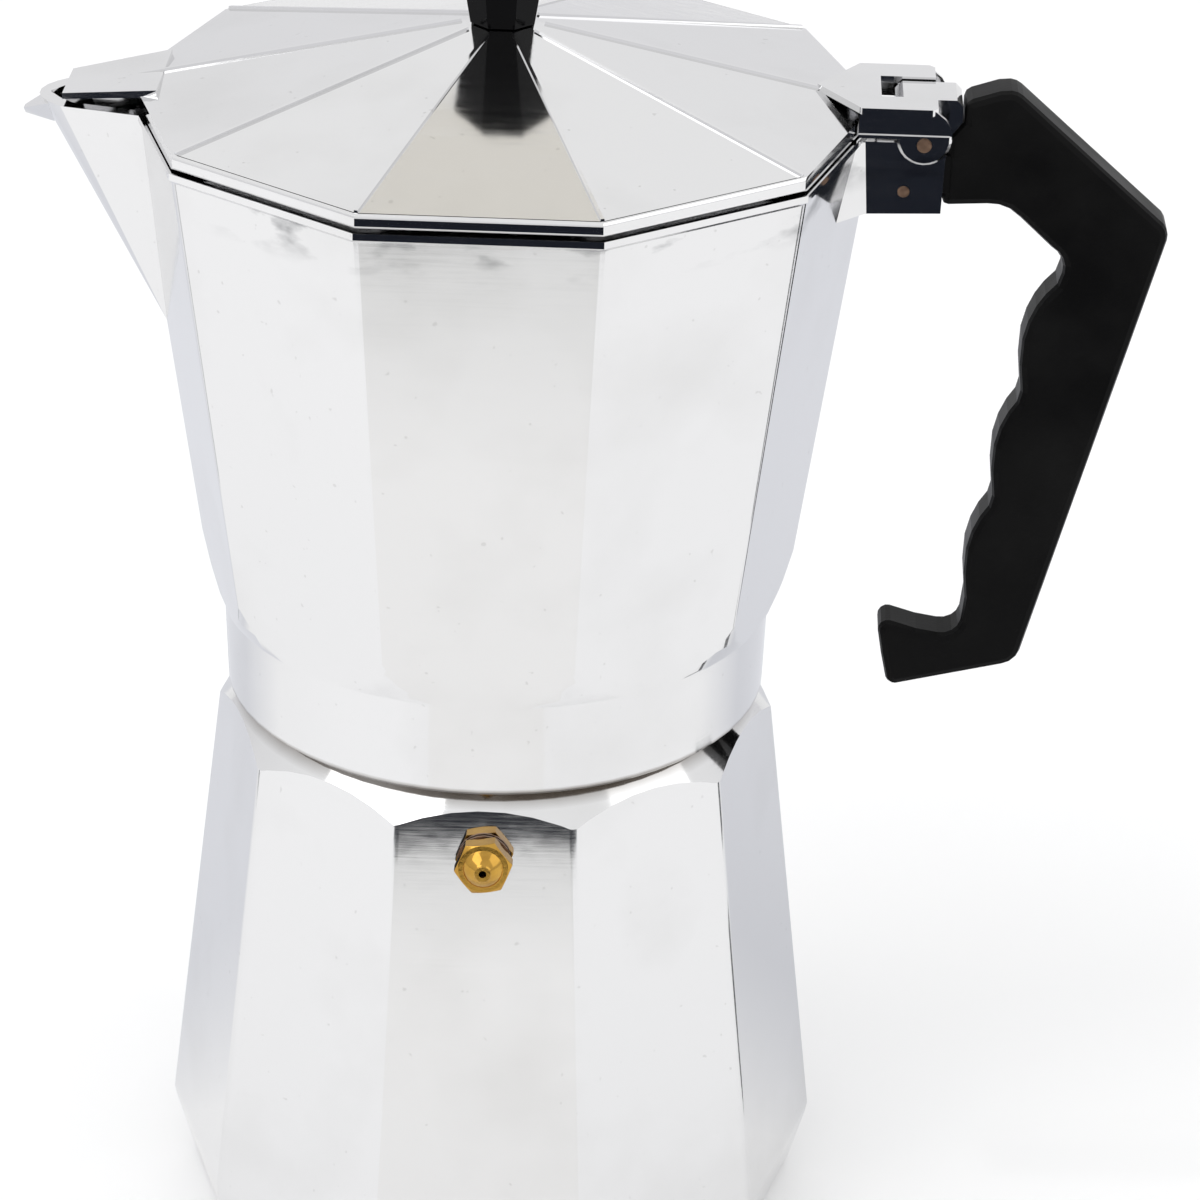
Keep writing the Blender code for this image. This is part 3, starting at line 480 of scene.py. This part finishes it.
def add_floor():
    """A wide white disc."""
    bm = bmesh.new()
    bmesh.ops.create_circle(bm, cap_ends=True, segments=FLOOR_SEGMENTS, radius=FLOOR_RADIUS)
    mesh = bpy.data.meshes.new("floor")
    bm.to_mesh(mesh)
    bm.free()
    mesh.materials.append(plain("floor_white", WHITE_SWEEP, roughness=0.6))
    floor = bpy.data.objects.new("floor", mesh)
    scene.collection.objects.link(floor)


def ring_sector(radii, degrees):
    """The faces of a sector of a flat ring, just above the floor."""
    low, high = (math.radians(value) for value in degrees)
    turns = [low + (high - low) * i / CARD_STEPS for i in range(CARD_STEPS + 1)]
    inner, outer = (
        [(radius * math.cos(turn), radius * math.sin(turn), CARD_HEIGHT) for turn in turns]
        for radius in radii
    )
    return [(inner[i], outer[i], outer[i + 1], inner[i + 1]) for i in range(CARD_STEPS)]


def fading_paint(name, near, far, fade, by_side=False):
    """A card's paint that goes from one tone to another over a range of distances from the pot's
    axis, or by side with how far round behind the pot a point lies, from 0 at its side to 1
    straight behind."""
    made = Nodes(name)
    made.set(Roughness=CARD_ROUGHNESS)
    length = made.tree.nodes.new("ShaderNodeVectorMath")
    length.operation = "LENGTH"
    made.link(made.coordinates, length.inputs[0])
    place = length.outputs["Value"]
    if by_side:
        place = made.math("DIVIDE", made.along("Y"), place)
    made.drive("Base Color", made.mix(made.remap(place, fade), near, far))
    return made.material


def add_card(name, faces, paint):
    """A studio card that only reflections show."""
    bm = bmesh.new()
    for face in faces:
        bm.faces.new([bm.verts.new(point) for point in face])
    mesh = bpy.data.meshes.new(name)
    bm.to_mesh(mesh)
    bm.free()
    mesh.materials.append(paint)
    card = bpy.data.objects.new(name, mesh)
    scene.collection.objects.link(card)
    card.visible_camera = False
    card.visible_diffuse = False
    card.visible_shadow = False


def add_cards():
    """What the polished metal sees around it: a dark room beyond the white sweep, a paler one
    behind, dark and grey edges at the sides, and a cream ceiling."""
    dark = plain("dark_paint", DARK_ROOM, CARD_ROUGHNESS, shine=0.0)
    add_card("dark_card", ring_sector((SWEEP_END, 1.6), (-135.0, -45.0)), dark)
    blue = fading_paint("blue_paint", WHITE_SWEEP, BLUE_SHADE, (0.05, 0.50), by_side=True)
    add_card("blue_card", ring_sector((UNDER_POT, 1.0), (3.0, 177.0)), blue)
    grey = fading_paint("grey_paint", WARM_WHITE, WARM_GREY, (0.27, 0.37))
    add_card("grey_card", ring_sector((UNDER_POT, SWEEP_END), (-112.0, -68.0)), grey)
    for number, radii in enumerate(((0.10, 0.218), (0.268, 0.46))):
        add_card(f"right_edge_card_{number}", ring_sector(radii, (1.0, 11.0)), dark)
    left_edge = plain("left_edge_paint", EDGE_GREY, CARD_ROUGHNESS)
    add_card("left_edge_card", ring_sector((0.285, 0.46), (170.0, 178.0)), left_edge)
    warm = plain("warm_paint", CREAM, CARD_ROUGHNESS)
    low, high = CEILING_LOW, CEILING_HIGH
    ceiling = [(low, (high.x, low.y, low.z), high, (low.x, high.y, low.z))]
    add_card("warm_card", ceiling, warm)


def add_world():
    """White overhead, a little greyer towards the horizon."""
    world = bpy.data.worlds.new("studio")
    scene.world = world
    world.use_nodes = True
    tree = world.node_tree
    background = tree.nodes["Background"]
    coordinates = tree.nodes.new("ShaderNodeTexCoord")
    split = tree.nodes.new("ShaderNodeSeparateXYZ")
    ramp = tree.nodes.new("ShaderNodeValToRGB")
    tree.links.new(coordinates.outputs["Generated"], split.inputs["Vector"])
    tree.links.new(split.outputs["Z"], ramp.inputs["Fac"])
    low, high = ramp.color_ramp.elements
    low.position, low.color = 0.0, HORIZON
    high.position, high.color = OVERHEAD_FROM, OVERHEAD
    tree.links.new(ramp.outputs["Color"], background.inputs["Color"])
    background.inputs["Strength"].default_value = 1.0


def add_softbox(name, location, size, power):
    """A rectangular light that faces the middle of the pot."""
    light = bpy.data.lights.new(name, "AREA")
    light.shape = "RECTANGLE"
    light.size, light.size_y = size
    light.energy = power
    obj = bpy.data.objects.new(name, light)
    obj.location = location
    direction = Vector(MIDDLE) - Vector(location)
    obj.rotation_euler = direction.to_track_quat("-Z", "Y").to_euler()
    scene.collection.objects.link(obj)


def add_camera():
    """The photo's viewpoint."""
    level = math.cos(CAMERA_PITCH)
    forward = Vector(
        (math.sin(CAMERA_YAW) * level, math.cos(CAMERA_YAW) * level, -math.sin(CAMERA_PITCH))
    )
    level_right = Vector((math.cos(CAMERA_YAW), -math.sin(CAMERA_YAW), 0.0))
    level_up = level_right.cross(forward)
    right = math.cos(CAMERA_ROLL) * level_right + math.sin(CAMERA_ROLL) * level_up
    up = -math.sin(CAMERA_ROLL) * level_right + math.cos(CAMERA_ROLL) * level_up
    turn = Matrix((right, up, -forward)).transposed()
    camera_data = bpy.data.cameras.new("camera")
    camera_data.sensor_width = SENSOR_MM
    camera_data.lens = LENS_MM
    camera_data.clip_start = NEAREST_SEEN
    camera = bpy.data.objects.new("camera", camera_data)
    camera.matrix_world = Matrix.Translation(CAMERA_PLACE) @ turn.to_4x4()
    scene.collection.objects.link(camera)
    scene.camera = camera


scene.view_settings.view_transform = "Standard"
add_floor()
add_cards()
add_world()
add_softbox("key", location=(-0.9, -0.6, 1.5), size=(1.2, 1.2), power=7.0)
add_softbox("fill", location=(1.2, -0.2, 0.9), size=(0.8, 1.2), power=2.0)
add_camera()
